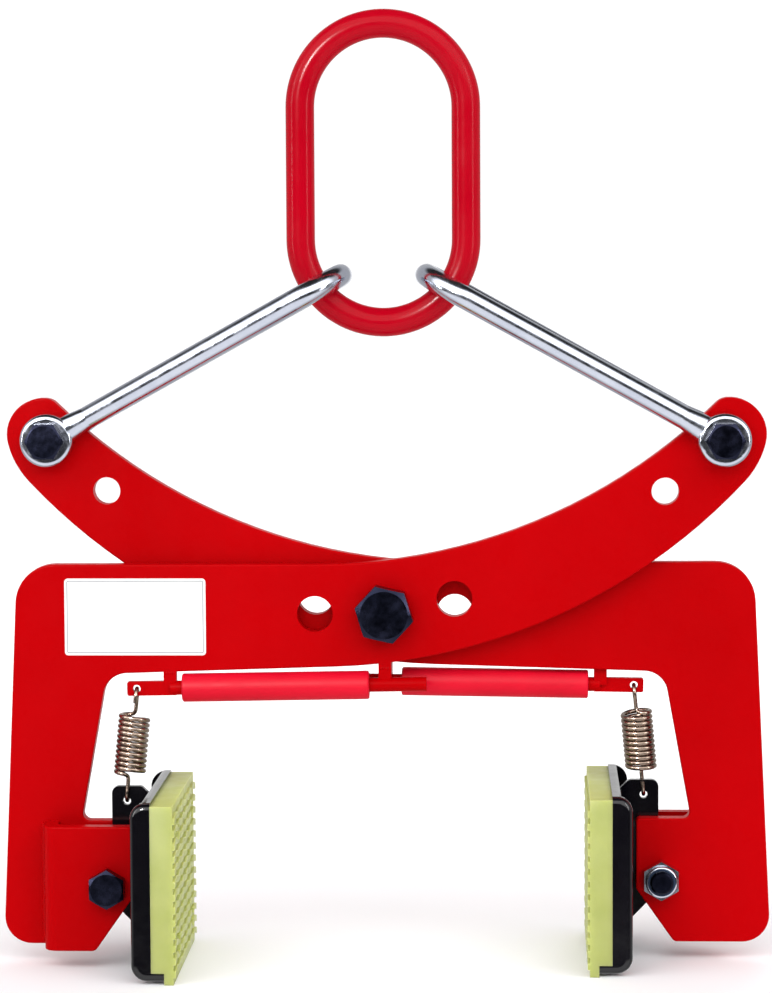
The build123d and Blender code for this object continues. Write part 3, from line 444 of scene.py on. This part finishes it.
BEAM_FALL = 0.0314          # by this share of the length
CHEEK_BEAD, LUG_BEAD, TAB_BEAD, POST_BEAD = 0.0018, 0.0024, 0.0022, 0.0020


def weld_bead(name, start, end, size):
    """A line of overlapping ripples along a corner."""
    run = end - start
    way = run.normalized()
    count = max(2, int(run.length / (size * RIPPLE_STEP)) + 1)
    fresh_start()
    bpy.ops.mesh.primitive_uv_sphere_add(segments=14, ring_count=9, radius=size, location=start)
    piece = bpy.context.object
    bpy.ops.object.mode_set(mode="EDIT")
    bpy.ops.mesh.select_all(action="SELECT")
    bpy.ops.transform.resize(value=[1 - RIPPLE_SQUEEZE * abs(part) for part in way])
    bpy.ops.object.mode_set(mode="OBJECT")
    named(name)
    applied(
        piece,
        "ARRAY",
        count=count,
        use_relative_offset=False,
        use_constant_offset=True,
        constant_offset_displace=way * (run.length / (count - 1)),
    )
    take(piece)
    bpy.ops.object.shade_smooth()
    return piece


def painted_weld(name, body, slot, start, end, size):
    """A weld bead under the same paint as the pieces that it joins."""
    bead = weld_bead(name, start, end, size)
    dressed(bead, FINISH_OF[slot])
    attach(bead, body)


def upright_weld(name, way, body, slot, u, heights, d, size):
    """A painted weld that runs down between two heights."""
    top, low = heights
    painted_weld(name, body, slot, spot(way, u, top, d), spot(way, u, low, d), size)


def post_weld(name, way, body, u):
    """A short painted weld along the beam's underside, at a post of the stop bar."""
    under = BEAM_UNDER_W - BEAM_FALL * max(u - BEAM_BEND_U, 0.0)
    start = spot(way, u - POST_WELD_HALF, under, POST_WELD_D)
    end = spot(way, u + POST_WELD_HALF, under, POST_WELD_D)
    painted_weld(name, body, "red_paint", start, end, POST_BEAD)


for way, side, jaw in SIDES:
    arm = f"{side}_arm"
    holder = f"{jaw}_jaw"
    upright_weld(
        f"{side}_cheek_weld", way, arm, "red_paint", CHEEK_WELD_U, CHEEK_WELD_W, CHEEK_WELD_D, CHEEK_BEAD
    )
    for number, d in enumerate(LUG_SIDES):
        name = f"{jaw}_lug_weld_{number}"
        upright_weld(name, way, holder, "black_paint", HOLDER_BACK_U, LUG_WELD_W, d, LUG_BEAD)
    for number, d in enumerate(TAB_SIDES):
        name = f"{jaw}_tab_weld_{number}"
        upright_weld(name, way, holder, "black_paint", HOLDER_BACK_U, TAB_WELD_W, d, TAB_BEAD)
    for number, u in enumerate(POST_PLACES):
        post_weld(f"{side}_post_weld_{number}", way, arm, u)

# Nylon rings in the lock nuts
M16_NYLON = (0.0082, 0.0097)        # inner and outer radius
M24_NYLON = (0.0122, 0.0147)
NYLON_T = 0.0005
NYLON_SUNK = 0.00015        # part of that thickness that is in the nut
NYLON_ROUNDING = 0.0002
# The bolt whose nut has the ring, 1 for a nut that looks to the rear, the radii and the body
NYLON_RINGS = (
    ("left_hinge", 1, M16_NYLON, "front_arm"),
    ("right_hinge", -1, M16_NYLON, "rear_arm"),
    ("left_shackle", 1, M16_NYLON, "left_shackle"),
    ("right_shackle", 1, M16_NYLON, "right_shackle"),
    ("pivot", 1, M24_NYLON, "pivot"),
)


def nylon_ring(bolt, facing, radii, body):
    """The insert that shows round the bolt's end, on the face of its nut."""
    inside, outside = radii
    low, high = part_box(f"{bolt}_nut")
    middle = (low + high) / 2
    middle.y = (high.y if facing > 0 else low.y) - facing * NYLON_SUNK
    fresh_start()
    bpy.ops.mesh.primitive_circle_add(
        vertices=48, radius=outside, location=middle, rotation=(pi / 2, 0, 0)
    )
    piece = named(f"{bolt}_nylon")
    bpy.ops.object.mode_set(mode="EDIT")
    bpy.ops.mesh.select_all(action="SELECT")
    bpy.ops.mesh.extrude_edges_move()
    bpy.ops.transform.resize(value=(inside / outside, 1, inside / outside), center_override=middle)
    bpy.ops.mesh.select_all(action="SELECT")
    bpy.ops.mesh.extrude_region_move(TRANSFORM_OT_translate={"value": (0, facing * NYLON_T, 0)})
    bpy.ops.mesh.select_all(action="SELECT")
    bpy.ops.mesh.normals_make_consistent(inside=False)
    bpy.ops.object.mode_set(mode="OBJECT")
    applied(piece, "BEVEL", width=NYLON_ROUNDING, segments=2, limit_method="ANGLE", angle_limit=radians(40))
    take(piece)
    bpy.ops.object.shade_smooth_by_angle(angle=radians(45))
    dressed(piece, nylon_insert)
    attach(piece, body)


for row in NYLON_RINGS:
    nylon_ring(*row)

# Floor and light
ROOM_LIGHT = 2.3            # radiance of the front light
SCREEN_LIGHT = 1.05         # radiance of the white screen behind the clamp
# Light over the height of the sky, 0.5 at the horizon: before the clamp, behind it, on the screen
FRONT_BANDS = (
    (0.0, 0.52), (0.34, 0.52), (0.39, 0.02), (0.57, 0.02), (0.61, 1.0), (0.90, 1.0), (0.94, 0.02),
)
BACK_BANDS = ((0.0, 0.24), (0.80, 0.24), (0.87, 0.01), (1.0, 0.01))
SCREEN_BANDS = ((0.0, 1.0), (0.58, 1.0), (0.62, 0.0))
FRONT_TO_BACK = (-0.40, -0.05)      # Y of the sky where the front bands give way to the back ones
SCREEN_SIDE = (0.90, 0.96)          # Y of the sky where the screen begins


def bands(tree, height, stops):
    """Light over the height of the sky."""
    node = tree.nodes.new("ShaderNodeValToRGB")
    while len(node.color_ramp.elements) < len(stops):
        node.color_ramp.elements.new(0.5)
    for element, (at, light) in zip(node.color_ramp.elements, stops):
        element.position = at
        element.color = (light, light, light, 1.0)
    tree.links.new(height, node.inputs["Fac"])
    return node.outputs["Color"]


def studio_world():
    """A dark room with a wide soft light in front, and a white screen behind the clamp."""
    world = bpy.data.worlds.new("studio")
    world.use_nodes = True
    tree = world.node_tree

    def span(value, low, high):
        """0 to 1 over this span of a value."""
        made = tree.nodes.new("ShaderNodeMapRange")
        made.inputs["From Min"].default_value = low
        made.inputs["From Max"].default_value = high
        tree.links.new(value, made.inputs["Value"])
        return made.outputs["Result"]

    def mix(share, first):
        """A mix of colours, its result and the socket of its second colour."""
        made = tree.nodes.new("ShaderNodeMix")
        made.data_type = "RGBA"
        colours = [socket for socket in made.inputs if socket.type == "RGBA"]
        tree.links.new(share, made.inputs[0])
        tree.links.new(first, colours[0])
        return next(socket for socket in made.outputs if socket.type == "RGBA"), colours[1]

    way = tree.nodes.new("ShaderNodeSeparateXYZ")
    tree.links.new(tree.nodes.new("ShaderNodeTexCoord").outputs["Generated"], way.inputs["Vector"])
    height = span(way.outputs["Z"], -1.0, 1.0)
    room, back = mix(span(way.outputs["Y"], *FRONT_TO_BACK), bands(tree, height, FRONT_BANDS))
    tree.links.new(bands(tree, height, BACK_BANDS), back)
    screen = tree.nodes.new("ShaderNodeMath")
    screen.operation = "MULTIPLY"
    tree.links.new(span(way.outputs["Y"], *SCREEN_SIDE), screen.inputs[0])
    tree.links.new(bands(tree, height, SCREEN_BANDS), screen.inputs[1])
    seen, white = mix(screen.outputs["Value"], room)
    white.default_value = (*[SCREEN_LIGHT / ROOM_LIGHT] * 3, 1.0)
    background = tree.nodes["Background"]
    tree.links.new(seen, background.inputs["Color"])
    background.inputs["Strength"].default_value = ROOM_LIGHT
    bpy.context.scene.world = world


def lamp(kind, name, place, aim, power, **settings):
    """A light at its place, turned to what it is aimed at."""
    fresh_start()
    bpy.ops.object.light_add(type=kind, location=place)
    light = bpy.context.object
    light.name = name
    light.data.energy = power
    for key, value in settings.items():
        setattr(light.data, key, value)
    light.rotation_euler = (Vector(aim) - Vector(place)).to_track_quat("-Z", "Y").to_euler()
    return light


def studio_floor():
    """A wide pale floor with a slight cloud in it."""
    fresh_start()
    bpy.ops.mesh.primitive_plane_add(size=60, location=(0, 0, 0))
    floor = named("studio_floor")
    f = Finish("studio_floor").set(Specular_IOR_Level=0.05, Roughness=0.9)
    f.colours(f.noise(scale=0.6, detail=2.0), (0.3, (0.91, 0.91, 0.925)), (0.7, (0.93, 0.93, 0.945)))
    dressed(floor, f.material)
    floor.visible_glossy = False


def studio_lamps():
    """Soft light from above and behind, and three lights that show only as highlights."""
    soft = [
        lamp("SUN", "sky_light", (0, 0, 4), (0, 0, 0), 1.3, angle=radians(120)),
        lamp("AREA", "back_light", (0.4, 2.6, 1.6), (0, 0, 0.3), 26, shape="DISK", size=1.8),
    ]
    for light in soft:
        light.visible_glossy = False
    strip = {"shape": "RECTANGLE", "size": 0.16, "size_y": 1.3}
    highlights = [
        lamp("AREA", "left_strip", (-1.75, -0.75, 0.80), (0, 0, 0.45), 8, **strip),
        lamp("AREA", "right_strip", (1.65, -1.00, 0.80), (0, 0, 0.45), 8, **strip),
        lamp("AREA", "near_light", (-0.90, -2.25, 1.25), (0, 0, 0.55), 80, shape="DISK", size=0.45),
    ]
    for light in highlights:
        light.visible_diffuse = False


def photo_camera():
    """The camera where the photograph was taken from."""
    back = Vector((sin(VIEW_AZ) * cos(VIEW_EL), -cos(VIEW_AZ) * cos(VIEW_EL), sin(VIEW_EL)))
    right = Vector((cos(VIEW_AZ), sin(VIEW_AZ), 0.0))
    up = back.cross(right)
    side = right * cos(VIEW_ROLL) + up * sin(VIEW_ROLL)
    rise = up * cos(VIEW_ROLL) - right * sin(VIEW_ROLL)
    fresh_start()
    bpy.ops.object.camera_add()
    camera = bpy.context.object
    camera.name = "photo_camera"
    turn = Matrix((side, rise, back)).transposed().to_4x4()
    camera.matrix_world = Matrix.Translation(VIEW_TARGET + back * VIEW_DISTANCE) @ turn
    camera.data.sensor_fit = "VERTICAL"
    camera.data.sensor_height = SENSOR
    camera.data.lens = FOCAL_PX * SENSOR / PHOTO_H
    bpy.context.scene.camera = camera


studio_floor()
studio_world()
studio_lamps()
photo_camera()
view = bpy.context.scene.view_settings
view.view_transform = "Standard"
view.look = "None"

fresh_start()
